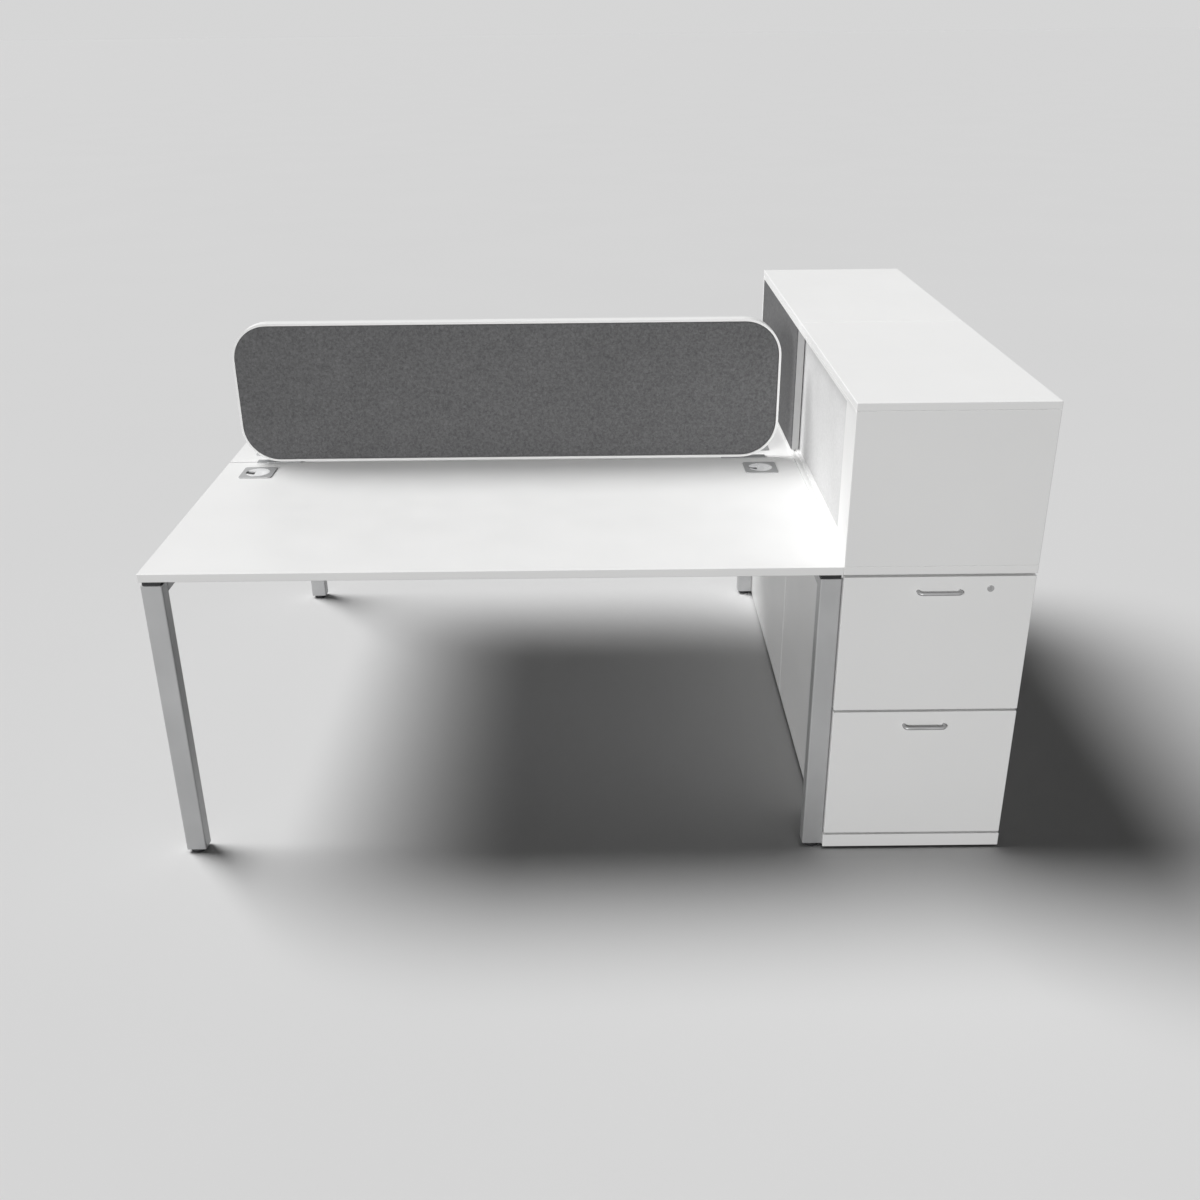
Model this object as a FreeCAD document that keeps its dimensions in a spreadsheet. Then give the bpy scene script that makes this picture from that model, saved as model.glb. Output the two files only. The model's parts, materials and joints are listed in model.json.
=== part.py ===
import FreeCAD, Part
import os
import Sketcher

Vector = FreeCAD.Vector

# Driving sizes in millimetres, each kept in one cell of the sheet.
SIZES = {
    # desk
    "desk_width": 1600, "desk_depth": 795, "desk_seam": 10, "desk_height": 770,
    "top_thick": 20, "edge_round": 1.5,
    # legs and under-frame
    "leg_width": 50, "leg_depth": 40, "leg_wall": 2.5, "leg_round": 4, "leg_setback": 10,
    "rail_height": 30, "frame_wall": 2, "spacer_height": 14, "spacer_setback": 4,
    "beam_width": 40, "beam_offset": 170, "block_length": 60, "block_width": 24,
    "bracket_length": 90, "bracket_width": 44, "bracket_thick": 4,
    "bolt_radius": 4, "bolt_head_radius": 6.5, "bolt_head_height": 5, "bolt_grip": 8, "hole_play": 0.3,
    "foot_clear": 10, "foot_radius": 20, "foot_height": 8, "foot_round": 2,
    "stem_radius": 5, "stem_length": 40,
    # cable tray
    "tray_end": 200, "tray_air": 10, "tray_depth": 55, "tray_sheet": 1.5, "tray_lip": 18,
    # grommets
    "grommet_side": 90, "grommet_thick": 3, "grommet_corner": 8, "grommet_inset": 105, "grommet_back": 100,
    "grommet_tube": 39.5, "tube_length": 26, "tube_play": 0.5, "cap_radius": 32.7, "cap_play": 0.3,
    "ledge_width": 3, "ledge_drop": 2, "dish_radius": 29, "dish_floor": 12, "dish_depth": 3,
    "skirt_length": 6, "skirt_wall": 2.5, "slot_width": 24, "slot_start": 9,
    # screen
    "screen_end": 50, "screen_lift": 6, "screen_height": 388, "screen_thick": 34, "screen_corner": 102,
    "rim_width": 6, "felt_thick": 9, "felt_recess": 8.5, "felt_play": 0.4, "felt_round": 1.2,
    "sole_length": 125, "sole_width": 23, "sole_thick": 3, "sole_end": 30, "saddle_length": 56,
    "blade_thick": 7, "blade_length": 40, "blade_depth": 36, "blade_inset": 8,
    "clamp_length": 70, "clamp_width": 60, "clamp_thick": 5, "clamp_play": 0.4,
    # tower
    "tower_width": 440, "tower_height": 1150, "tower_cap": 18, "board": 18, "unit_gap": 2,
    "glide_height": 6, "glide_radius": 20, "glide_inset": 45, "base_thick": 35,
    "front_gap": 6, "front_reveal": 1.5, "front_clear": 3,
    # drawers
    "box_lift": 25, "box_height": 250, "box_tail": 28.5, "box_sheet": 2,
    "runner_thick": 12.7, "runner_height": 45, "runner_sheet": 1.5, "runner_play": 0.5, "runner_flange": 9,
    "runner_length": 600, "runner_start": 8, "runner_rise": 60,
    # handles and locks
    "handle_pitch": 96, "handle_out": 18, "handle_rod": 4, "handle_bend": 8, "handle_drop": 35,
    "lock_inset": 103, "lock_drop": 30, "lock_collar": 8, "lock_proud": 2, "lock_barrel": 6.5,
    "lock_length": 24, "lock_play": 0.3, "key_width": 1.6, "key_height": 8, "key_depth": 1.2,
    "cam_length": 20, "cam_width": 9, "cam_thick": 2,
    # cupboard doors and tracks
    "track_margin": 5, "track_lower": 6, "track_upper": 8, "groove_width": 8, "groove_floor": 1.5,
    "lane_gap": 3, "door_thick": 22, "door_air": 0.6, "tongue_thick": 7, "tongue_air": 1,
    "front_door_lap": 58, "rear_door_start": 45, "door_end_air": 2, "door_felt": 3,
    "stile_width": 102, "stile_setback": 2, "shelf_setback": 4,
}


class Size:
    """A length that knows its value now and the formula that binds it to the sheet."""

    def __init__(self, value, text):
        self.value = float(value)
        self.text = text

    def __add__(self, other):
        other = size(other)
        return Size(self.value + other.value, "(%s + %s)" % (self.text, other.text))

    def __radd__(self, other):
        return size(other) + self

    def __sub__(self, other):
        other = size(other)
        return Size(self.value - other.value, "(%s - %s)" % (self.text, other.text))

    def __rsub__(self, other):
        return size(other) - self

    def __mul__(self, number):
        return Size(self.value * number, "(%s * %s)" % (self.text, number))

    __rmul__ = __mul__

    def __truediv__(self, number):
        return Size(self.value / number, "(%s / %s)" % (self.text, number))

    def __neg__(self):
        return Size(-self.value, "(0 - %s)" % self.text)


def size(value):
    """Give any plain number or Size as a Size."""
    if isinstance(value, Size):
        return value
    return Size(value, "(%s)" % value)


doc = FreeCAD.newDocument("office_desk")
sheet = doc.addObject("Spreadsheet::Sheet", "sizes")
for row, (name, number) in enumerate(SIZES.items(), 1):
    sheet.set("A%d" % row, name)
    sheet.set("B%d" % row, str(number))
    sheet.setAlias("B%d" % row, name)
doc.recompute()


class Cells:
    """The sizes of the sheet by name."""

    def __getattr__(self, name):
        return Size(SIZES[name], "sizes.%s" % name)


c = Cells()
nodes = []


def bind(thing, prop, length):
    """Bind one property of an object to a formula over the sheet."""
    thing.setExpression(prop, size(length).text)


def locate(thing, at):
    """Bind the position of an object."""
    for axis, length in zip("xyz", at):
        bind(thing, "Placement.Base." + axis, length)


def new_body(label):
    """Start a body with a name of its own."""
    body = doc.addObject("PartDesign::Body", label)
    body.Label = label
    return body


def block(body, at, dims, cut=False):
    """Add a box to a body, or take one away."""
    kind = "PartDesign::SubtractiveBox" if cut else "PartDesign::AdditiveBox"
    piece = body.newObject(kind, "block")
    for prop, length in zip(("Length", "Width", "Height"), dims):
        bind(piece, prop, length)
    locate(piece, at)
    doc.recompute()
    return piece


TURNS = {
    "z": FreeCAD.Rotation(),
    "y": FreeCAD.Rotation(Vector(1, 0, 0), -90),
    "x": FreeCAD.Rotation(Vector(0, 1, 0), 90),
}


def rod(body, at, radius, length, along="z", cut=False):
    """Add a cylinder to a body along one axis, or take one away."""
    kind = "PartDesign::SubtractiveCylinder" if cut else "PartDesign::AdditiveCylinder"
    piece = body.newObject(kind, "rod")
    bind(piece, "Radius", radius)
    bind(piece, "Height", length)
    piece.Placement = FreeCAD.Placement(Vector(0, 0, 0), TURNS[along])
    locate(piece, at)
    doc.recompute()
    return piece


def soften(body, radius, pick=None):
    """Round the edges of the latest feature: all of them, or those that pick accepts."""
    base = body.Tip
    fillet = body.newObject("PartDesign::Fillet", "fillet")
    edges = base.Shape.Edges
    names = ["Edge%d" % i for i, edge in enumerate(edges, 1) if pick is None or pick(edge)]
    fillet.Base = (base, names)
    bind(fillet, "Radius", radius)
    doc.recompute()
    return fillet


def runs(axis):
    """Accept straight edges that run along one axis."""
    def pick(edge):
        if edge.Curve.TypeId != "Part::GeomLine":
            return False
        step = edge.Vertexes[-1].Point - edge.Vertexes[0].Point
        return abs(getattr(step, axis)) > 0.99 * step.Length
    return pick


def profile(body, plane, points):
    """Draw a closed outline whose corners are each tied to the sheet."""
    sketch = body.newObject("Sketcher::SketchObject", "outline")
    role = plane + "_Plane"
    support = [part for part in body.Origin.OriginFeatures if part.Role == role][0]
    sketch.AttachmentSupport = [(support, "")]
    sketch.MapMode = "FlatFace"
    points = [(size(x), size(y)) for x, y in points]
    spots = [Vector(x.value, y.value, 0) for x, y in points]
    count = len(spots)
    for i in range(count):
        sketch.addGeometry(Part.LineSegment(spots[i], spots[(i + 1) % count]))
    for i in range(count):
        sketch.addConstraint(Sketcher.Constraint("Coincident", i, 2, (i + 1) % count, 1))
    for i, (x, y) in enumerate(points):
        tie(sketch, "DistanceX", i, x, "across%d" % i, -2)
        tie(sketch, "DistanceY", i, y, "up%d" % i, -1)
    doc.recompute()
    return sketch


def tie(sketch, kind, line, length, name, axis):
    """Hold the start of a line at a distance from the origin, or on the axis."""
    if length.value == 0:
        sketch.addConstraint(Sketcher.Constraint("PointOnObject", line, 1, axis))
        return
    mark = sketch.addConstraint(Sketcher.Constraint(kind, -1, 1, line, 1, length.value))
    sketch.renameConstraint(mark, name)
    bind(sketch, "Constraints." + name, length)


def sweep(body, sketch, length, back=False):
    """Pad an outline to a length."""
    pad = body.newObject("PartDesign::Pad", "pad")
    pad.Profile = sketch
    bind(pad, "Length", length)
    pad.Reversed = back
    doc.recompute()
    return pad


def keep(thing, label=None):
    """Count an object among the pieces that are written out."""
    if label:
        thing.Label = label
    nodes.append(thing)
    return thing


def board(label, at, dims, radius=None):
    """Make a flat panel with softened edges."""
    body = new_body(label)
    block(body, (0, 0, 0), dims)
    soften(body, c.edge_round if radius is None else radius)
    locate(body, at)
    doc.recompute()
    return body


def across(source, label, normal):
    """Mirror a piece over the middle plane that faces along the normal."""
    twin = doc.addObject("Part::Mirroring", label)
    twin.Label = label
    twin.Source = source
    twin.Normal = normal
    doc.recompute()
    return twin


def to_rear(source, label):
    """Make the rear user's copy of a piece."""
    return across(source, label, Vector(0, 1, 0))


def group(label, pieces):
    """Hold several alike pieces as one node of separate solids."""
    bundle = doc.addObject("Part::Compound", label)
    bundle.Label = label
    bundle.Links = pieces
    doc.recompute()
    return bundle


# Main planes. The floor is z 0, the seam of the tops is y 0, and x 0 is the middle of desk and tower.
x_left = -(c.desk_width + c.tower_width) / 2
x_right = x_left + c.desk_width
x_mid = x_left + c.desk_width / 2
y_seam = c.desk_seam / 2
y_front = -(c.desk_depth + y_seam)
z_under = c.desk_height - c.top_thick
z_frame = z_under - c.spacer_height
z_rail = z_frame - c.rail_height
x_tower = x_right
unit_half = c.unit_gap / 2
unit_depth = -y_front - unit_half


# Tops, each with a round hole for every grommet.
grommet_xs = (x_left + c.grommet_inset, x_right - c.grommet_inset)


def make_top():
    body = new_body("desktop_front")
    block(body, (0, 0, 0), (c.desk_width, c.desk_depth, c.top_thick))
    soften(body, c.edge_round)
    for x in grommet_xs:
        hole = (x - x_left, -y_front - c.grommet_back, 0)
        rod(body, hole, c.grommet_tube + c.tube_play, c.top_thick, cut=True)
    locate(body, (x_left, y_front, z_under))
    doc.recompute()
    return body


desktop_front = keep(make_top())
keep(to_rear(desktop_front, "desktop_rear"))


# Legs: upright tubes with a foot plate welded into the lower end.
leg_height = z_frame - c.foot_clear
y_leg = y_front + c.leg_setback


def make_leg(label, x):
    body = new_body(label)
    block(body, (0, 0, 0), (c.leg_width, c.leg_depth, leg_height))
    soften(body, c.leg_round, runs("z"))
    bore = (c.leg_width - c.leg_wall * 2, c.leg_depth - c.leg_wall * 2, leg_height - c.leg_wall * 3)
    block(body, (c.leg_wall, c.leg_wall, c.leg_wall * 2), bore, cut=True)
    hole = (c.leg_width / 2, c.leg_depth / 2, 0)
    rod(body, hole, c.stem_radius + c.hole_play, c.leg_wall * 2, cut=True)
    locate(body, (x, y_leg, c.foot_clear))
    doc.recompute()
    return body


def make_foot(label, x):
    body = new_body(label)
    rod(body, (0, 0, 0), c.foot_radius, c.foot_height)
    soften(body, c.foot_round)
    rod(body, (0, 0, c.foot_height - c.foot_round), c.stem_radius, c.stem_length + c.foot_round)
    locate(body, (x + c.leg_width / 2, y_leg + c.leg_depth / 2, 0))
    doc.recompute()
    return body


for side, x in (("left", x_left), ("right", x_right - c.leg_width)):
    leg = make_leg("leg_front_" + side, x)
    keep(group("legs_" + side, [leg, to_rear(leg, "leg_rear_" + side)]))
    foot = keep(make_foot("foot_front_" + side, x))
    keep(to_rear(foot, "foot_rear_" + side))


# End rails between the legs, with holes for the beam bolts.
rail_length = -(y_leg + c.leg_depth) * 2
bolt_reach = c.bracket_length / 4


def make_rail(label, x, holes_x):
    body = new_body(label)
    block(body, (0, 0, 0), (c.leg_width, rail_length, c.rail_height))
    soften(body, c.leg_round, runs("y"))
    bore = (c.leg_width - c.frame_wall * 2, rail_length, c.rail_height - c.frame_wall * 2)
    block(body, (c.frame_wall, 0, c.frame_wall), bore, cut=True)
    for y in (-c.beam_offset, c.beam_offset):
        hole = (holes_x, y + rail_length / 2, 0)
        rod(body, hole, c.bolt_radius + c.hole_play, c.frame_wall, cut=True)
    locate(body, (x, y_leg + c.leg_depth, z_rail))
    doc.recompute()
    return body


rails = [
    make_rail("rail_left", x_left, c.leg_width - bolt_reach),
    make_rail("rail_right", x_right - c.leg_width, bolt_reach),
]
keep(group("end_rails", rails))


# Beams between the rails, the brackets that carry them and the bolts of the brackets.
beam_start = x_left + c.leg_width
beam_length = c.desk_width - c.leg_width * 2


def make_beam():
    body = new_body("beam_front")
    block(body, (0, 0, 0), (beam_length, c.beam_width, c.rail_height))
    soften(body, c.leg_round, runs("x"))
    bore = (beam_length, c.beam_width - c.frame_wall * 2, c.rail_height - c.frame_wall * 2)
    block(body, (0, c.frame_wall, c.frame_wall), bore, cut=True)
    for x in (bolt_reach, beam_length - bolt_reach):
        rod(body, (x, c.beam_width / 2, 0), c.bolt_radius + c.hole_play, c.frame_wall, cut=True)
    locate(body, (beam_start, -c.beam_offset - c.beam_width / 2, z_rail))
    doc.recompute()
    return body


beam = make_beam()
keep(group("beams", [beam, to_rear(beam, "beam_rear")]))

joint_xs = (beam_start, beam_start + beam_length)


def make_bracket(label, x):
    body = new_body(label)
    block(body, (0, 0, 0), (c.bracket_length, c.bracket_width, c.bracket_thick))
    soften(body, c.leg_round, runs("z"))
    for reach in (c.bracket_length / 2 - bolt_reach, c.bracket_length / 2 + bolt_reach):
        rod(body, (reach, c.bracket_width / 2, 0), c.bolt_radius + c.hole_play, c.bracket_thick, cut=True)
    locate(body, (x - c.bracket_length / 2, -c.beam_offset - c.bracket_width / 2, z_rail - c.bracket_thick))
    doc.recompute()
    return body


def make_bolt(label, x):
    body = new_body(label)
    rod(body, (0, 0, 0), c.bolt_head_radius, c.bolt_head_height)
    soften(body, c.edge_round / 3)
    shank = c.bolt_head_height / 2 + c.bracket_thick + c.bolt_grip
    rod(body, (0, 0, c.bolt_head_height / 2), c.bolt_radius, shank)
    locate(body, (x, -c.beam_offset, z_rail - c.bracket_thick - c.bolt_head_height))
    doc.recompute()
    return body


brackets = []
bolts = []
for i, x in enumerate(joint_xs):
    bracket = make_bracket("bracket%d" % i, x)
    brackets += [bracket, to_rear(bracket, "bracket_rear%d" % i)]
    for k, reach in enumerate((-bolt_reach, bolt_reach)):
        bolt = make_bolt("bolt%d%d" % (i, k), x + reach)
        bolts += [bolt, to_rear(bolt, "bolt_rear%d%d" % (i, k))]
keep(group("beam_brackets", brackets))
keep(group("frame_bolts", bolts))


# Dark spacers: a bar on each end frame and blocks along the beams.
spacers = []
for side, x in (("left", x_left), ("right", x_right - c.leg_width)):
    at = (x + c.spacer_setback, y_leg + c.spacer_setback, z_frame)
    dims = (c.leg_width - c.spacer_setback * 2, -(y_leg + c.spacer_setback) * 2, c.spacer_height)
    spacers.append(board("spacer_" + side, at, dims, c.edge_round / 3))
for i, share in enumerate((0.25, 0.5, 0.75)):
    x = beam_start + beam_length * share - c.block_length / 2
    y = -c.beam_offset - c.beam_width / 2
    dims = (c.block_length, c.block_width, c.spacer_height)
    block_body = board("spacer_block%d" % i, (x, y, z_frame), dims, c.edge_round / 3)
    spacers += [block_body, to_rear(block_body, "spacer_block_rear%d" % i)]
keep(group("top_spacers", spacers))


# Cable tray: one folded sheet that hangs by its lips from the beams.
def make_tray():
    body = new_body("cable_tray")
    half = c.beam_offset - c.beam_width / 2 - c.tray_air
    fold = c.tray_sheet
    floor = z_frame - c.tray_depth
    lip = half + c.tray_lip
    top = z_frame + fold
    right = [
        (half - fold, floor + fold), (half - fold, top), (lip, top),
        (lip, z_frame), (half, z_frame), (half, floor)]
    left = [(-y, z) for y, z in reversed(right)]
    sweep(body, profile(body, "YZ", right + left), c.desk_width - c.tray_end * 2)
    locate(body, (x_left + c.tray_end, 0, 0))
    doc.recompute()
    return body


keep(make_tray())


# Grommets: a square plate with a tube below, and a dished cap that turns on a ledge.
z_cap = c.desk_height - c.ledge_drop
well_radius = c.cap_radius + c.cap_play
ledge_radius = well_radius - c.ledge_width
cap_thick = c.ledge_drop + c.grommet_thick


def make_grommet(label, x):
    body = new_body(label)
    half = c.grommet_side / 2
    block(body, (-half, -half, 0), (c.grommet_side, c.grommet_side, c.grommet_thick))
    soften(body, c.grommet_corner, runs("z"))
    soften(body, c.edge_round / 2, lambda edge: edge.CenterOfMass.z > c.grommet_thick.value * 0.9)
    rod(body, (0, 0, -c.tube_length), c.grommet_tube, c.tube_length)
    rod(body, (0, 0, -c.ledge_drop), well_radius, cap_thick, cut=True)
    rod(body, (0, 0, -c.tube_length), ledge_radius, c.tube_length, cut=True)
    locate(body, (x, -c.grommet_back, c.desk_height))
    doc.recompute()
    return body


def make_cap(label, x):
    body = new_body(label)
    rod(body, (0, 0, 0), c.cap_radius, cap_thick)
    soften(body, c.edge_round / 3, lambda edge: edge.CenterOfMass.z > cap_thick.value * 0.9)
    skirt = ledge_radius - c.cap_play
    rod(body, (0, 0, -c.skirt_length), skirt, c.skirt_length)
    rod(body, (0, 0, -c.skirt_length), skirt - c.skirt_wall, c.skirt_length, cut=True)
    dish = body.newObject("PartDesign::SubtractiveCone", "dish")
    bind(dish, "Radius1", c.dish_floor)
    bind(dish, "Radius2", c.dish_radius)
    bind(dish, "Height", c.dish_depth)
    locate(dish, (0, 0, cap_thick - c.dish_depth))
    doc.recompute()
    slot = (c.cap_radius * 2, c.slot_width, cap_thick + c.skirt_length)
    block(body, (-c.slot_start - c.cap_radius * 2, -c.slot_width / 2, -c.skirt_length), slot, cut=True)
    locate(body, (x, -c.grommet_back, z_cap))
    doc.recompute()
    return body


grommets = []
for side, x in zip(("left", "right"), grommet_xs):
    grommet = make_grommet("grommet_" + side, x)
    grommets += [grommet, to_rear(grommet, "grommet_rear_" + side)]
    cap = keep(make_cap("grommet_cap_front_" + side, x))
    keep(to_rear(cap, "grommet_cap_rear_" + side))
keep(group("grommet_frames", grommets))


# Screen: a white-edged core with felt let into both faces.
x_screen = x_left + c.screen_end
screen_length = c.desk_width - c.screen_end * 2
z_screen = c.desk_height + c.screen_lift


def plate(label, at, dims, corner, edge=None):
    """Make an upright plate with rounded corners, seen from the front."""
    body = new_body(label)
    block(body, (0, 0, 0), dims)
    soften(body, corner, runs("y"))
    if edge is not None:
        soften(body, edge, lambda line: line.CenterOfMass.y < 0.01)
    locate(body, at)
    doc.recompute()
    return body


def make_screen():
    blank = plate("screen_blank", (x_screen, -c.screen_thick / 2, z_screen),
                  (screen_length, c.screen_thick, c.screen_height), c.screen_corner)
    inner = (screen_length - c.rim_width * 2, c.felt_recess, c.screen_height - c.rim_width * 2)
    at = (x_screen + c.rim_width, -c.screen_thick / 2, z_screen + c.rim_width)
    recess = plate("screen_recess", at, inner, c.screen_corner - c.rim_width)
    recesses = group("screen_recesses", [recess, to_rear(recess, "screen_recess_rear")])
    frame = doc.addObject("Part::Cut", "screen_frame")
    frame.Base = blank
    frame.Tool = recesses
    doc.recompute()
    return frame


keep(make_screen(), "screen_frame")
felt_edge = c.rim_width + c.felt_play
felt = plate(
    "screen_felt_front",
    (x_screen + felt_edge, -c.screen_thick / 2 + c.felt_recess - c.felt_thick, z_screen + felt_edge),
    (screen_length - felt_edge * 2, c.felt_thick, c.screen_height - felt_edge * 2),
    c.screen_corner - felt_edge, c.felt_round)
keep(felt)
keep(to_rear(felt, "screen_felt_rear"))


# Screen feet: a sole over the seam, a saddle under the screen and a blade down through the seam.
x_sole = x_screen + c.sole_end


def make_screen_foot():
    body = new_body("screen_foot_left")
    block(body, (0, -c.sole_width / 2, 0), (c.sole_length, c.sole_width, c.sole_thick))
    soften(body, c.edge_round / 2)
    lift = c.screen_lift - c.sole_thick
    block(body, (c.sole_length - c.saddle_length, -c.sole_width / 2 + c.edge_round, c.sole_thick),
          (c.saddle_length - c.edge_round, c.sole_width - c.edge_round * 2, lift))
    start = c.sole_length - c.blade_inset - c.blade_length
    block(body, (start, -c.blade_thick / 2, -c.blade_depth), (c.blade_length, c.blade_thick, c.blade_depth))
    locate(body, (x_sole, 0, c.desk_height))
    doc.recompute()
    return body


def make_clamp():
    body = new_body("screen_clamp_left")
    block(body, (-c.clamp_length / 2, -c.clamp_width / 2, 0), (c.clamp_length, c.clamp_width, c.clamp_thick))
    soften(body, c.leg_round, runs("z"))
    slot = (c.blade_length + c.clamp_play * 2, c.blade_thick + c.clamp_play * 2, c.clamp_thick)
    block(body, (-slot[0] / 2, -slot[1] / 2, 0), slot, cut=True)
    middle = x_sole + c.sole_length - c.blade_inset - c.blade_length / 2
    locate(body, (middle, 0, z_under - c.clamp_thick))
    doc.recompute()
    return body


def other_end(source, label):
    """Mirror a piece over the middle of the desk's length."""
    twin = across(source, label, Vector(1, 0, 0))
    bind(twin, "Base.x", x_mid)
    doc.recompute()
    return twin


foot_left = make_screen_foot()
keep(group("screen_feet", [foot_left, other_end(foot_left, "screen_foot_right")]))
clamp_left = make_clamp()
keep(group("screen_clamps", [clamp_left, other_end(clamp_left, "screen_clamp_right")]))


# Pedestals: base, sides, back and top of each user's unit.
z_base = c.glide_height + c.base_thick
z_deck = c.desk_height
side_start = y_front + c.board + c.front_clear
side_depth = -unit_half - side_start
side_height = z_under - z_base
inner_width = c.tower_width - c.board * 2

base = board("base_front", (x_tower, y_front, c.glide_height), (c.tower_width, unit_depth, c.base_thick))
keep(group("pedestal_bases", [base, to_rear(base, "base_rear")]))
deck = board("pedestal_top_front", (x_tower, y_front, z_under), (c.tower_width, unit_depth, c.top_thick))
keep(group("pedestal_tops", [deck, to_rear(deck, "pedestal_top_rear")]))
sides = []
for name, x in (("desk_side", x_tower), ("outer_side", x_tower + c.tower_width - c.board)):
    panel = board("pedestal_" + name, (x, side_start, z_base), (c.board, side_depth, side_height))
    sides.append(panel)
keep(group("pedestal_sides", sides + [to_rear(panel, panel.Label + "_rear") for panel in sides]))
back = board("pedestal_back_front", (x_tower + c.board, -unit_half - c.board, z_base),
             (inner_width, c.board, side_height))
keep(group("pedestal_backs", [back, to_rear(back, "pedestal_back_rear")]))

glides = []
for i, x in enumerate((x_tower + c.glide_inset, x_tower + c.tower_width - c.glide_inset)):
    for k, y in enumerate((y_front + c.glide_inset, -c.glide_inset)):
        glide = new_body("glide%d%d" % (i, k))
        rod(glide, (0, 0, 0), c.glide_radius, c.glide_height)
        soften(glide, c.edge_round)
        locate(glide, (x, y, 0))
        doc.recompute()
        glides += [glide, to_rear(glide, "glide_rear%d%d" % (i, k))]
keep(group("tower_glides", glides))


# Drawers: front, box with inner runner members, handle, and the runner members that stay behind.
front_height = (z_under - z_base - c.front_gap * 3) / 2
front_width = c.tower_width - c.front_reveal * 2
x_front = x_tower + c.front_reveal
x_lock = x_tower + c.tower_width - c.lock_inset
box_width = inner_width - c.runner_thick * 2
x_box = x_tower + c.board + c.runner_thick
y_box = y_front + c.board
box_length = -unit_half - c.board - c.box_tail - y_box
runner_half = c.runner_height / 2
runner_step = c.runner_sheet + c.runner_play
y_runner = side_start + c.runner_start
x_inner = (x_tower + c.board, x_tower + c.tower_width - c.board)


def channel(label, side, web, tip, half, z):
    """Make one runner member: a folded channel whose web and lip tips are given from the pedestal side."""
    body = new_body(label)
    sign = 1 if side == 0 else -1
    turn = 1 if tip.value > web.value else -1
    wall = x_inner[side] + web * sign
    inside = x_inner[side] + (web + c.runner_sheet * turn) * sign
    lip = x_inner[side] + tip * sign
    fold = half - c.runner_sheet
    outline = [
        (wall, z - half), (lip, z - half), (lip, z - fold), (inside, z - fold),
        (inside, z + fold), (lip, z + fold), (lip, z + half), (wall, z + half)]
    sweep(body, profile(body, "XZ", outline), c.runner_length, back=True)
    locate(body, (0, y_runner, 0))
    doc.recompute()
    return body


def make_front(label, z, locked):
    body = new_body(label)
    block(body, (0, 0, 0), (front_width, c.board, front_height))
    soften(body, c.edge_round)
    if locked:
        hole = (x_lock - x_front, 0, front_height - c.lock_drop)
        rod(body, hole, c.lock_barrel + c.lock_play, c.board, along="y", cut=True)
    locate(body, (x_front, y_front, z))
    doc.recompute()
    return body


def make_box(level, z):
    """Make the steel walls and floor of a drawer, and the runner members fixed to them."""
    z_box = z + c.box_lift
    sheet_pairs = (
        ("wall_a", (x_box, y_box, z_box), (c.box_sheet, box_length, c.box_height)),
        ("wall_b", (x_box + box_width - c.box_sheet, y_box, z_box), (c.box_sheet, box_length, c.box_height)),
        ("floor", (x_box + c.box_sheet, y_box, z_box),
         (box_width - c.box_sheet * 2, box_length - c.box_sheet, c.box_sheet)),
        ("tail", (x_box + c.box_sheet, y_box + box_length - c.box_sheet, z_box),
         (box_width - c.box_sheet * 2, c.box_sheet, c.box_height)))
    pieces = []
    for name, at, dims in sheet_pairs:
        body = new_body("%s_%s" % (level, name))
        block(body, (0, 0, 0), dims)
        locate(body, at)
        doc.recompute()
        pieces.append(body)
    for side in (0, 1):
        pieces.append(channel("%s_inner%d" % (level, side), side, c.runner_thick,
                              runner_step * 2, runner_half - runner_step * 2, z_box + c.runner_rise))
    return pieces


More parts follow.
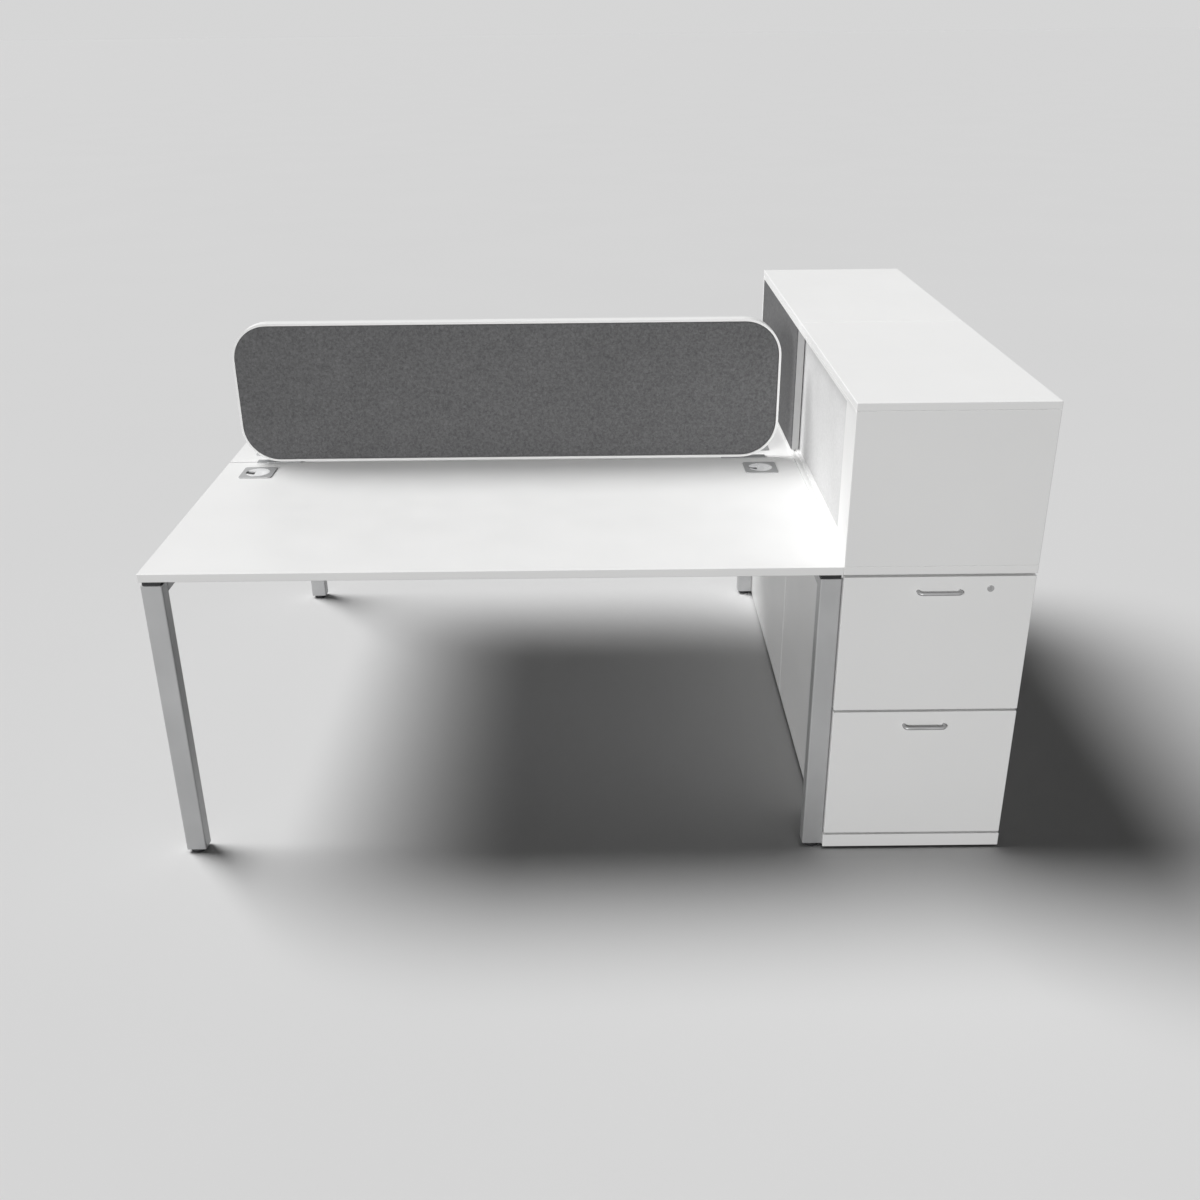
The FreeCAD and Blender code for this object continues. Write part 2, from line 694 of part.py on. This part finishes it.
def make_handle(label, z):
    """Bend a round bar into a bow between two posts."""
    body = new_body(label)
    support = {part.Role: part for part in body.Origin.OriginFeatures}
    route = body.newObject("Sketcher::SketchObject", "route")
    route.AttachmentSupport = [(support["XY_Plane"], "")]
    route.MapMode = "FlatFace"
    pitch = c.handle_pitch
    out = c.handle_out
    bend = c.handle_bend
    p, o, b = pitch.value, out.value, bend.value
    cut = b * 0.293
    route.addGeometry(Part.LineSegment(Vector(0, 0, 0), Vector(0, b - o, 0)))
    route.addGeometry(Part.Arc(Vector(0, b - o, 0), Vector(cut, cut - o, 0), Vector(b, -o, 0)))
    route.addGeometry(Part.LineSegment(Vector(b, -o, 0), Vector(p - b, -o, 0)))
    route.addGeometry(Part.Arc(Vector(p - b, -o, 0), Vector(p - cut, cut - o, 0), Vector(p, b - o, 0)))
    route.addGeometry(Part.LineSegment(Vector(p, b - o, 0), Vector(p, 0, 0)))
    doc.recompute()
    rule = Sketcher.Constraint
    route.addConstraint(rule("Coincident", 0, 1, -1, 1))
    for arc, before, after in ((1, 0, 2), (3, 2, 4)):
        start = route.getPoint(arc, 1)
        near = route.getPoint(before, 2)
        first, last = (1, 2) if start.distanceToPoint(near) < 0.01 else (2, 1)
        route.addConstraint(rule("Tangent", before, 2, arc, first))
        route.addConstraint(rule("Tangent", arc, last, after, 1))
    route.addConstraint(rule("Vertical", 0))
    route.addConstraint(rule("Horizontal", 2))
    route.addConstraint(rule("Vertical", 4))
    route.addConstraint(rule("PointOnObject", 4, 2, -1))
    route.addConstraint(rule("Equal", 1, 3))
    ties = (
        ("bend", rule("Radius", 1, b), bend),
        ("pitch", rule("DistanceX", 0, 1, 4, 2, p), pitch),
        ("out", rule("DistanceY", 2, 1, 0, 1, o), out))
    for name, constraint, length in ties:
        mark = route.addConstraint(constraint)
        route.renameConstraint(mark, name)
        bind(route, "Constraints." + name, length)
    ring = body.newObject("Sketcher::SketchObject", "ring")
    ring.AttachmentSupport = [(support["XZ_Plane"], "")]
    ring.MapMode = "FlatFace"
    ring.addGeometry(Part.Circle(Vector(0, 0, 0), Vector(0, 0, 1), c.handle_rod.value))
    ring.addConstraint(rule("Coincident", 0, 3, -1, 1))
    mark = ring.addConstraint(rule("Radius", 0, c.handle_rod.value))
    ring.renameConstraint(mark, "rod")
    bind(ring, "Constraints.rod", c.handle_rod)
    doc.recompute()
    pipe = body.newObject("PartDesign::AdditivePipe", "bow")
    pipe.Profile = ring
    pipe.Spine = (route, ["Edge%d" % i for i in range(1, 6)])
    doc.recompute()
    locate(body, (x_tower + c.tower_width / 2 - pitch / 2, y_front, z + front_height - c.handle_drop))
    doc.recompute()
    return body


def make_lock(label, z):
    """Make the lock barrel with its collar, key slot and cam."""
    body = new_body(label)
    rod(body, (0, -c.lock_proud, 0), c.lock_collar, c.lock_proud, along="y")
    soften(body, c.edge_round / 2, lambda edge: edge.CenterOfMass.y < -c.lock_proud.value * 0.9)
    rod(body, (0, 0, 0), c.lock_barrel, c.lock_length, along="y")
    block(body, (-c.lock_barrel / 2, c.lock_length - c.cam_thick, -c.cam_width / 2),
          (c.cam_length + c.lock_barrel / 2, c.cam_thick, c.cam_width))
    block(body, (-c.key_width / 2, -c.lock_proud, -c.key_height / 2),
          (c.key_width, c.key_depth, c.key_height), cut=True)
    locate(body, (x_lock, y_front, z + front_height - c.lock_drop))
    doc.recompute()
    return body


outers = []
for level, z in (("lower", z_base + c.front_gap), ("upper", z_base + c.front_gap * 2 + front_height)):
    locked = level == "upper"
    front = keep(make_front("drawer_front_%s" % level, z, locked))
    keep(to_rear(front, "drawer_front_rear_%s" % level))
    pieces = make_box(level, z)
    keep(group("drawer_box_%s" % level, pieces))
    keep(group("drawer_box_rear_%s" % level, [to_rear(piece, piece.Label + "_rear") for piece in pieces]))
    handle = keep(make_handle("handle_%s" % level, z))
    keep(to_rear(handle, "handle_rear_%s" % level))
    z_runner = z + c.box_lift + c.runner_rise
    middles = []
    for side in (0, 1):
        outers.append(channel("%s_outer%d" % (level, side), side, size(0),
                              c.runner_flange, runner_half, z_runner))
        middles.append(channel("%s_middle%d" % (level, side), side, runner_step,
                               c.runner_flange + c.runner_sheet, runner_half - runner_step, z_runner))
    keep(group("runner_middle_%s" % level, middles))
    keep(group("runner_middle_rear_%s" % level, [to_rear(piece, piece.Label + "_rear") for piece in middles]))
    if locked:
        lock = keep(make_lock("lock_front", z))
        keep(to_rear(lock, "lock_rear"))
keep(group("runner_outers", outers + [to_rear(piece, piece.Label + "_rear") for piece in outers]))


# Cupboard over the pedestals: ends, partitions, backs, shelves and tops.
z_lid = c.tower_height - c.tower_cap
cupboard_height = z_lid - z_deck
x_back = x_tower + c.tower_width - c.board
lane_pitch = c.door_thick + c.lane_gap
track_width = lane_pitch + c.door_thick + c.track_margin
x_store = x_tower + track_width
store_width = c.tower_width - track_width - c.board
y_store = y_front + c.board
store_depth = -unit_half - c.board - y_store

end = board("cupboard_end_front", (x_tower, y_front, z_deck), (c.tower_width, c.board, cupboard_height))
keep(group("cupboard_ends", [end, to_rear(end, "cupboard_end_rear")]))
lid = board("cupboard_top_front", (x_tower, y_front, z_lid), (c.tower_width, unit_depth, c.tower_cap))
keep(group("cupboard_tops", [lid, to_rear(lid, "cupboard_top_rear")]))
wall = board("partition_front", (x_store, -unit_half - c.board, z_deck),
             (c.tower_width - track_width, c.board, cupboard_height))
keep(group("cupboard_partitions", [wall, to_rear(wall, "partition_rear")]))
rear_wall = board("cupboard_back_front", (x_back, y_store, z_deck), (c.board, store_depth, cupboard_height))
keep(group("cupboard_backs", [rear_wall, to_rear(rear_wall, "cupboard_back_rear")]))
shelf = board("shelf_front", (x_store + c.shelf_setback, y_store, z_deck + (cupboard_height - c.board) / 2),
              (store_width - c.shelf_setback, store_depth, c.board))
keep(group("cupboard_shelves", [shelf, to_rear(shelf, "shelf_rear")]))


# Two-lane tracks, and the doors whose tongues run in them.
track_length = -y_store * 2
z_rim = z_deck + c.track_lower
z_hood = z_lid - c.track_upper
lanes = [x_tower + c.door_thick / 2 + lane_pitch * lane for lane in (0, 1)]


def make_track(label, z_mouth, z_root, z_floor):
    """Make a profile with two grooves that open at the mouth."""
    body = new_body(label)
    outline = [(x_tower, z_root), (x_tower, z_mouth)]
    for lane in lanes:
        near = lane - c.groove_width / 2
        far = lane + c.groove_width / 2
        outline += [(near, z_mouth), (near, z_floor), (far, z_floor), (far, z_mouth)]
    outline += [(x_store, z_mouth), (x_store, z_root)]
    sweep(body, profile(body, "XZ", outline), track_length, back=True)
    locate(body, (0, y_store, 0))
    doc.recompute()
    return body


keep(make_track("door_track_lower", z_rim, z_deck, z_deck + c.groove_floor))
keep(make_track("door_track_upper", z_hood, z_lid, z_lid - c.groove_floor))


def make_door(label, lane, skin, length, y):
    """Make a door slab with a tongue below, which bears on the track, and one above."""
    body = new_body(label)
    middle = lanes[lane]
    near = middle - c.door_thick / 2 + skin
    far = middle + c.door_thick / 2
    left = middle - c.tongue_thick / 2
    right = middle + c.tongue_thick / 2
    bottom = z_rim + c.door_air
    top = z_hood - c.door_air
    foot_line = z_deck + c.groove_floor
    head_line = z_lid - c.groove_floor - c.tongue_air
    outline = [
        (near, bottom), (left, bottom), (left, foot_line),
        (right, foot_line), (right, bottom), (far, bottom),
        (far, top), (right, top), (right, head_line), (left, head_line), (left, top), (near, top)]
    sweep(body, profile(body, "XZ", outline), length, back=True)
    locate(body, (0, y, 0))
    doc.recompute()
    return body


y_front_door = y_store + c.door_end_air
y_rear_door = c.rear_door_start
front_door_length = c.front_door_lap - y_front_door
rear_door_length = -y_store - c.door_end_air - y_rear_door
keep(make_door("front_door", 1, size(0), front_door_length, y_front_door))
keep(make_door("rear_door", 0, c.door_felt, rear_door_length, y_rear_door))
skin_height = z_hood - z_rim - c.door_air * 2
keep(board("rear_door_felt", (x_tower, y_rear_door, z_rim + c.door_air),
           (c.door_felt, rear_door_length, skin_height), c.door_felt / 3))
keep(board("front_stile", (x_tower + c.stile_setback, y_store, z_rim),
           (c.door_thick, c.stile_width, z_hood - z_rim)))


# Every piece must be sound before it is written out.
doc.recompute()
faults = [thing.Label for thing in doc.Objects if "Invalid" in thing.State or "Error" in thing.State]
for thing in nodes:
    if thing.Shape.isNull() or not thing.Shape.isValid() or not thing.Shape.Solids:
        faults.append(thing.Label)
if faults:
    raise RuntimeError("unsound: " + ", ".join(faults))

os.makedirs("parts", exist_ok=True)
for thing in nodes:
    thing.Shape.exportStep("parts/%s.step" % thing.Label)
print(len(nodes), "pieces")
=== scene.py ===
import json
import math

import bmesh
import bpy
from mathutils import Matrix, Vector


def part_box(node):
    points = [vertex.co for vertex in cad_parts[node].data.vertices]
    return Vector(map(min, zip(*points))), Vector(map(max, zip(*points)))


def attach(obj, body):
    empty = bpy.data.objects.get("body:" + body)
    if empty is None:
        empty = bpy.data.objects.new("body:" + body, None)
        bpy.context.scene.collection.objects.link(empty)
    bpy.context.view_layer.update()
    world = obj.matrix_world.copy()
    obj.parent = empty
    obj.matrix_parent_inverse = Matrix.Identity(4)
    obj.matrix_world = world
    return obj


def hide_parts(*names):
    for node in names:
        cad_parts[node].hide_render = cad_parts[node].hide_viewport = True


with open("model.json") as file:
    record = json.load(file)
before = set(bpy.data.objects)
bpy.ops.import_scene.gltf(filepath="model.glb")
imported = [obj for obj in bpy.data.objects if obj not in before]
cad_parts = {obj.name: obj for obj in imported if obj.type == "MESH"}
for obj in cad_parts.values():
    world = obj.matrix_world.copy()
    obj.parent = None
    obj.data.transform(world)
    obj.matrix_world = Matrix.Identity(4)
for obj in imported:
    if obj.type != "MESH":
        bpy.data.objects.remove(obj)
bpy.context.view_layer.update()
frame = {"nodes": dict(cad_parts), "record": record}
nodes = frame["nodes"]
scene = bpy.context.scene


# Materials. Texture scales are per metre.

MIX_SHARE, MIX_FIRST, MIX_SECOND, MIX_RESULT = 0, 6, 7, 2  # colour sockets of the mix node
NOISE_LOW, NOISE_HIGH = 0.3, 0.7  # most of a noise lies between these


class Paint:
    """A node material in the making: the shader, its nodes and short ways to link them."""

    def __init__(self, name, color, rough, metallic=0.0, specular=0.5):
        self.material = bpy.data.materials.new(name)
        self.material.use_nodes = True
        self.tree = self.material.node_tree
        self.shader = self.tree.nodes["Principled BSDF"]
        self.feed(color, self.shader.inputs["Base Color"])
        self.feed(rough, self.shader.inputs["Roughness"])
        self.feed(metallic, self.shader.inputs["Metallic"])
        self.feed(specular, self.shader.inputs["Specular IOR Level"])
        self.coords = self.tree.nodes.new("ShaderNodeTexCoord").outputs["Object"]

    def feed(self, value, socket):
        """Set a socket to a number or a colour, or link another node's output to it."""
        if isinstance(value, (int, float)):
            socket.default_value = value
        elif isinstance(value, tuple):
            socket.default_value = (*value, 1)
        else:
            self.tree.links.new(value, socket)

    def stretch(self, scale):
        """Give coordinates with a scale of their own along each axis."""
        node = self.tree.nodes.new("ShaderNodeMapping")
        node.inputs["Scale"].default_value = scale
        self.feed(self.coords, node.inputs["Vector"])
        return node.outputs["Vector"]

    def noise(self, scale, detail, rough, vector=None, distort=0.0):
        node = self.tree.nodes.new("ShaderNodeTexNoise")
        self.feed(scale, node.inputs["Scale"])
        self.feed(detail, node.inputs["Detail"])
        self.feed(rough, node.inputs["Roughness"])
        self.feed(distort, node.inputs["Distortion"])
        self.feed(vector or self.coords, node.inputs["Vector"])
        return node.outputs["Fac"]

    def cells(self, scale):
        node = self.tree.nodes.new("ShaderNodeTexVoronoi")
        self.feed(scale, node.inputs["Scale"])
        self.feed(self.coords, node.inputs["Vector"])
        return node.outputs["Distance"]

    def spread(self, value, low=NOISE_LOW, high=NOISE_HIGH, out_low=0.0, out_high=1.0):
        """Map a range of values to another one, with the ends held."""
        node = self.tree.nodes.new("ShaderNodeMapRange")
        self.feed(value, node.inputs["Value"])
        self.feed(low, node.inputs["From Min"])
        self.feed(high, node.inputs["From Max"])
        self.feed(out_low, node.inputs["To Min"])
        self.feed(out_high, node.inputs["To Max"])
        return node.outputs["Result"]

    def mix(self, share, first, second, mode="MIX"):
        """Mix two colours, with the given share of the second."""
        node = self.tree.nodes.new("ShaderNodeMix")
        node.data_type = "RGBA"
        node.blend_type = mode
        self.feed(share, node.inputs[MIX_SHARE])
        self.feed(first, node.inputs[MIX_FIRST])
        self.feed(second, node.inputs[MIX_SECOND])
        return node.outputs[MIX_RESULT]

    def math(self, kind, first, second):
        node = self.tree.nodes.new("ShaderNodeMath")
        node.operation = kind
        self.feed(first, node.inputs[0])
        self.feed(second, node.inputs[1])
        return node.outputs[0]

    def weigh(self, first, first_share, second, second_share):
        """Add two values by their shares."""
        first_part = self.math("MULTIPLY", first, first_share)
        second_part = self.math("MULTIPLY", second, second_share)
        return self.math("ADD", first_part, second_part)

    def color(self, out):
        self.feed(out, self.shader.inputs["Base Color"])

    def rough(self, value, low, high):
        roughness = self.spread(value, out_low=low, out_high=high)
        self.feed(roughness, self.shader.inputs["Roughness"])

    def bump(self, height, strength, depth):
        node = self.tree.nodes.new("ShaderNodeBump")
        self.feed(strength, node.inputs["Strength"])
        self.feed(depth, node.inputs["Distance"])
        self.feed(height, node.inputs["Height"])
        self.feed(node.outputs["Normal"], self.shader.inputs["Normal"])


def board_paint(name, dark, light, rough):
    """Melamine-faced board: a faint cloudiness in the colour and a fine pearl in the surface."""
    paint = Paint(name, light, rough, specular=0.35)
    cloud = paint.noise(2.2, detail=4, rough=0.6)
    pearl = paint.noise(1400, detail=2, rough=0.5)
    smear = paint.noise(9, detail=4, rough=0.6)
    paint.color(paint.mix(paint.spread(cloud), dark, light))
    paint.rough(smear, rough - 0.05, rough + 0.07)
    paint.bump(pearl, strength=0.12, depth=0.0004)
    return paint.material


def coat_paint(name, dark, light, metallic, rough):
    """Metallic powder coat: fine grains in colour and surface."""
    paint = Paint(name, light, rough, metallic)
    grain = paint.noise(1800, detail=2, rough=0.7)
    cloud = paint.noise(6, detail=3, rough=0.5)
    mottle = paint.weigh(grain, 0.7, cloud, 0.3)
    paint.color(paint.mix(paint.spread(mottle, 0.35, 0.65), dark, light))
    paint.rough(cloud, rough - 0.04, rough + 0.06)
    paint.bump(grain, strength=0.15, depth=0.0003)
    return paint.material


def brushed_paint(name, dark, light, rough, along):
    """Bare metal with fine lines along one axis."""
    paint = Paint(name, light, rough, metallic=1.0)
    scale = [25 if axis == along else 1400 for axis in "xyz"]
    lines = paint.noise(1, detail=3, rough=0.6, vector=paint.stretch(scale))
    paint.color(paint.mix(paint.spread(lines), dark, light))
    paint.rough(lines, rough - 0.06, rough + 0.1)
    paint.bump(lines, strength=0.08, depth=0.0003)
    return paint.material


def plastic_paint(name, dark, light, rough):
    """Moulded plastic with a fine spark-eroded grain."""
    paint = Paint(name, light, rough, specular=0.4)
    grain = paint.cells(900)
    cloud = paint.noise(30, detail=3, rough=0.6)
    paint.color(paint.mix(paint.spread(cloud), dark, light))
    paint.rough(cloud, rough - 0.06, rough + 0.06)
    paint.bump(grain, strength=0.2, depth=0.0003)
    return paint.material


def felt_paint(name, dark, light, pale, relief):
    """Pressed wool felt: matted fibres in small tufts, flecks of a paler fibre and a soft nap."""
    paint = Paint(name, light, 0.95, specular=0.15)
    mat = paint.noise(420, detail=5, rough=0.72, distort=1.2)
    tuft = paint.noise(130, detail=3, rough=0.6, distort=0.6)
    cloud = paint.noise(7, detail=3, rough=0.6)
    long_way, cross_way = (
        paint.noise(1, detail=3, rough=0.6, vector=paint.stretch(scale), distort=0.8)
        for scale in ((90, 900, 900), (900, 900, 110))
    )
    fibres = paint.math("MAXIMUM", long_way, cross_way)
    pile = paint.weigh(mat, 0.6, fibres, 0.4)
    mottle = paint.weigh(pile, 0.55, tuft, 0.45)
    base = paint.mix(paint.spread(mottle, 0.36, 0.68), dark, light)
    fleck = paint.math("MULTIPLY", paint.spread(fibres, 0.66, 0.8), 0.5)
    flecked = paint.mix(fleck, base, pale)
    shade = paint.mix(paint.spread(cloud), (0.93, 0.93, 0.93), (1.0, 1.0, 1.0))
    paint.color(paint.mix(1.0, flecked, shade, "MULTIPLY"))
    paint.feed(0.04, paint.shader.inputs["Sheen Weight"])
    paint.feed(0.5, paint.shader.inputs["Sheen Roughness"])
    paint.bump(pile, relief, depth=0.0012)
    return paint.material


# One paint for each material slot of the record
paints = {
    "white_board": board_paint(
        "white_melamine", (0.815, 0.815, 0.81), (0.835, 0.835, 0.83), rough=0.42),
    "white_edge": board_paint(
        "white_edge", (0.815, 0.815, 0.81), (0.835, 0.835, 0.83), rough=0.38),
    "light_grey_board": felt_paint(
        "pale_textile", (0.56, 0.56, 0.56), (0.69, 0.69, 0.69), (0.76, 0.76, 0.76), relief=0.2),
    "grey_felt": felt_paint(
        "grey_felt", (0.075, 0.075, 0.077), (0.185, 0.185, 0.188), (0.34, 0.34, 0.34), relief=0.5),
    "silver_steel": coat_paint(
        "silver_coat", (0.39, 0.393, 0.396), (0.51, 0.513, 0.516), metallic=0.5, rough=0.42),
    "frame_steel": coat_paint(
        "frame_coat", (0.36, 0.365, 0.37), (0.48, 0.485, 0.49), metallic=0.55, rough=0.45),
    "fastener_steel": brushed_paint(
        "zinc_bolts", (0.45, 0.45, 0.46), (0.62, 0.62, 0.63), rough=0.35, along="z"),
    "dark_plastic": plastic_paint(
        "black_plastic", (0.012, 0.012, 0.013), (0.022, 0.022, 0.024), rough=0.5),
    "grommet_metal": coat_paint(
        "grommet_coat", (0.36, 0.363, 0.366), (0.46, 0.463, 0.466), metallic=0.3, rough=0.42),
    "cap_metal": coat_paint(
        "cap_coat", (0.82, 0.825, 0.83), (0.9, 0.905, 0.91), metallic=0.2, rough=0.28),
    "foot_metal": coat_paint(
        "screen_foot_coat", (0.26, 0.265, 0.27), (0.36, 0.365, 0.37), metallic=0.5, rough=0.45),
    "drawer_steel": coat_paint(
        "drawer_coat", (0.52, 0.525, 0.53), (0.62, 0.625, 0.63), metallic=0.2, rough=0.45),
    "runner_steel": brushed_paint(
        "runner_zinc", (0.48, 0.485, 0.5), (0.66, 0.665, 0.68), rough=0.34, along="y"),
    "handle_metal": brushed_paint(
        "handle_nickel", (0.34, 0.34, 0.343), (0.47, 0.47, 0.473), rough=0.5, along="x"),
    "lock_metal": brushed_paint(
        "lock_chrome", (0.37, 0.37, 0.373), (0.52, 0.52, 0.523), rough=0.3, along="z"),
    "track_metal": coat_paint(
        "track_coat", (0.78, 0.78, 0.775), (0.83, 0.83, 0.825), metallic=0.0, rough=0.4),
}

# The felt door's board shows only its narrow white ends. They are painted greyer than the screen's
# rim as painted shade, standing in for the shade they lie in beside the doors.
node_paints = {
    "rear_door": board_paint(
        "white_edge_painted_shade", (0.385, 0.385, 0.385), (0.415, 0.415, 0.415), rough=0.4),
}

for part in frame["record"]["subparts"]:
    mesh = nodes[part["node"]].data
    mesh.materials.clear()
    mesh.materials.append(node_paints.get(part["node"]) or paints[part["material_slot"]])


# Felt panels, drawn tight over their boards with rolled edges. Lengths are in metres.

SCREEN_CORNER, SCREEN_ROLL = 0.0956, 0.004
DOOR_CORNER, DOOR_ROLL = 0.004, 0.002
SMALLEST_CORNER = 0.0005
ROLL_STEPS = 5
LEAST_TURNS, TURNS_PER_METRE = 4, 250


def rounded_outline(width, height, corner, turns):
    """Points round a rectangle with rounded corners, anticlockwise, about its middle."""
    points = []
    for side_x, side_y, start in ((1, 1, 0), (-1, 1, 90), (-1, -1, 180), (1, -1, 270)):
        x = (width / 2 - corner) * side_x
        y = (height / 2 - corner) * side_y
        for i in range(turns + 1):
            angle = math.radians(start + 90 * i / turns)
            points.append((x + corner * math.cos(angle), y + corner * math.sin(angle)))
    return points


def roll_rings(thick, roll):
    """The inset and the level of each ring of a panel, from its back to its face."""
    rings = [(0.0, 0.0)]
    for i in range(ROLL_STEPS + 1):
        angle = math.pi / 2 * i / ROLL_STEPS
        rings.append((roll * (1 - math.cos(angle)), thick - roll * (1 - math.sin(angle))))
    return rings


def felt_panel(name, node, body, out, corner, roll):
    """Make a panel in a node's place: a flat back, a rolled edge and a flat face.

    The face looks along the thin axis, in the direction given by out, 1 or -1.
    """
    low, high = (Vector(point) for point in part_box(node))
    thin = min(range(3), key=lambda axis: high[axis] - low[axis])
    across, up = [axis for axis in range(3) if axis != thin]
    middle = (low + high) / 2
    width = high[across] - low[across]
    height = high[up] - low[up]
    back = low[thin] if out > 0 else high[thin]
    turns = LEAST_TURNS + int(corner * TURNS_PER_METRE)
    mesh = bmesh.new()
    rows = []
    for inset, level in roll_rings(high[thin] - low[thin], roll):
        row = []
        ring_corner = max(corner - inset, SMALLEST_CORNER)
        for a, b in rounded_outline(width - inset * 2, height - inset * 2, ring_corner, turns):
            spot = Vector((0, 0, 0))
            spot[across] = middle[across] + a
            spot[up] = middle[up] + b
            spot[thin] = back + level * out
            row.append(mesh.verts.new(spot))
        rows.append(row)
    count = len(rows[0])
    for lower, upper in zip(rows, rows[1:]):
        for i in range(count):
            j = (i + 1) % count
            mesh.faces.new((lower[i], lower[j], upper[j], upper[i]))
    mesh.faces.new(rows[0])
    mesh.faces.new(rows[-1])
    bmesh.ops.recalc_face_normals(mesh, faces=mesh.faces)
    data = bpy.data.meshes.new(name)
    mesh.to_mesh(data)
    mesh.free()
    # Only the sides and the rolled edge are made of faces with four corners.
    for face in data.polygons:
        face.use_smooth = len(face.vertices) == 4
    data.materials.append(paints["grey_felt"])
    piece = bpy.data.objects.new(name, data)
    scene.collection.objects.link(piece)
    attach(piece, body)
    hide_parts(node)


felt_panel("felt_front", "screen_felt_front", "desk", -1, SCREEN_CORNER, SCREEN_ROLL)
felt_panel("felt_rear", "screen_felt_rear", "desk", 1, SCREEN_CORNER, SCREEN_ROLL)
felt_panel("felt_door", "rear_door_felt", "door_rear", -1, DOOR_CORNER, DOOR_ROLL)


# Floor

FLOOR_REACH = 400  # metres from the middle to each edge


def seen_share(tree):
    """One where the eye or a mirror looks, nought where light bounces."""
    path = tree.nodes.new("ShaderNodeLightPath")
    share = path.outputs["Is Camera Ray"]
    for name in ("Is Glossy Ray", "Is Transmission Ray"):
        node = tree.nodes.new("ShaderNodeMath")
        node.operation = "MAXIMUM"
        tree.links.new(share, node.inputs[0])
        tree.links.new(path.outputs[name], node.inputs[1])
        share = node.outputs[0]
    return share


def make_floor():
    """Lay the floor, which looks pale but bounces little light."""
    mesh = bmesh.new()
    corners = ((-1, -1), (1, -1), (1, 1), (-1, 1))
    mesh.faces.new([mesh.verts.new((x * FLOOR_REACH, y * FLOOR_REACH, 0)) for x, y in corners])
    data = bpy.data.meshes.new("studio_floor")
    mesh.to_mesh(data)
    mesh.free()
    paint = Paint("studio_floor", (0.79, 0.79, 0.79), 0.9, specular=0.1)
    cloud = paint.noise(0.8, detail=3, rough=0.5)
    pale = paint.mix(cloud, (0.77, 0.77, 0.77), (0.79, 0.79, 0.79))
    dim = paint.mix(cloud, (0.17, 0.17, 0.17), (0.19, 0.19, 0.19))
    paint.color(paint.mix(seen_share(paint.tree), dim, pale))
    data.materials.append(paint.material)
    floor = bpy.data.objects.new("studio_floor", data)
    scene.collection.objects.link(floor)
    return floor


floor = make_floor()


# Light

WHITE = (1, 1, 1, 1)
FILL_STRENGTH = 0.05
BACKDROP_STRENGTH = 0.67  # as bright as the floor in the light
FRONT_KEY = {"toward": (-0.4, -0.8, 0.24), "energy": 2.16, "spread": 12}
BACK_KEY = {"toward": (-0.52, 0.26, 0.8), "energy": 3.07, "spread": 32}


def make_sun(name, toward, energy, spread):
    """Set up a sun that stands in the given direction and looks as many degrees wide as spread."""
    sun = bpy.data.lights.new(name, "SUN")
    sun.energy = energy
    sun.angle = math.radians(spread)
    lamp = bpy.data.objects.new(name, sun)
    lamp.rotation_euler = Vector(toward).to_track_quat("Z", "Y").to_euler()
    scene.collection.objects.link(lamp)
    return lamp


def spare(lamp, piece):
    """Keep a lamp's light off one piece."""
    spared = bpy.data.collections.new(lamp.name + "_spares")
    spared.objects.link(piece)
    lamp.light_linking.receiver_collection = spared
    spared.collection_objects[0].light_linking.link_state = "EXCLUDE"


def make_world():
    """Fill the scene with a weak light, in front of a backdrop that is only seen."""
    world = bpy.data.worlds.new("studio")
    scene.world = world
    world.use_nodes = True
    tree = world.node_tree
    fill = tree.nodes["Background"]
    seen = tree.nodes.new("ShaderNodeBackground")
    for node, strength in ((fill, FILL_STRENGTH), (seen, BACKDROP_STRENGTH)):
        node.inputs["Color"].default_value = WHITE
        node.inputs["Strength"].default_value = strength
    chosen = tree.nodes.new("ShaderNodeMixShader")
    tree.links.new(seen_share(tree), chosen.inputs[0])
    tree.links.new(fill.outputs[0], chosen.inputs[1])
    tree.links.new(seen.outputs[0], chosen.inputs[2])
    tree.links.new(chosen.outputs[0], tree.nodes["World Output"].inputs["Surface"])


make_world()
spare(make_sun("front_key", **FRONT_KEY), floor)
make_sun("back_key", **BACK_KEY)


# Camera, as fitted to the photo

CAMERA_AT = (0.027, -3.378, 1.883)
PITCH, YAW, ROLL = (math.radians(angle) for angle in (24.74, -0.01, -0.6))
FRAME_PIXELS, FOCAL_PIXELS = 1200, 1243.3
SENSOR_WIDTH = 36
FARTHEST = 1000


def make_camera():
    side = Vector((math.cos(YAW), math.sin(YAW), 0))
    onward = Vector((-math.sin(YAW), math.cos(YAW), 0))
    upward = Vector((0, 0, 1))
    ahead = onward * math.cos(PITCH) - upward * math.sin(PITCH)
    upright = onward * math.sin(PITCH) + upward * math.cos(PITCH)
    right = side * math.cos(ROLL) + upright * math.sin(ROLL)
    up = upright * math.cos(ROLL) - side * math.sin(ROLL)
    data = bpy.data.cameras.new("camera")
    data.sensor_fit = "HORIZONTAL"
    data.sensor_width = SENSOR_WIDTH
    data.lens = SENSOR_WIDTH * FOCAL_PIXELS / FRAME_PIXELS
    data.clip_end = FARTHEST
    camera = bpy.data.objects.new("camera", data)
    turn = Matrix((right, up, -ahead)).transposed().to_4x4()
    camera.matrix_world = Matrix.Translation(CAMERA_AT) @ turn
    scene.collection.objects.link(camera)
    scene.camera = camera


make_camera()

scene.view_settings.view_transform = "Standard"
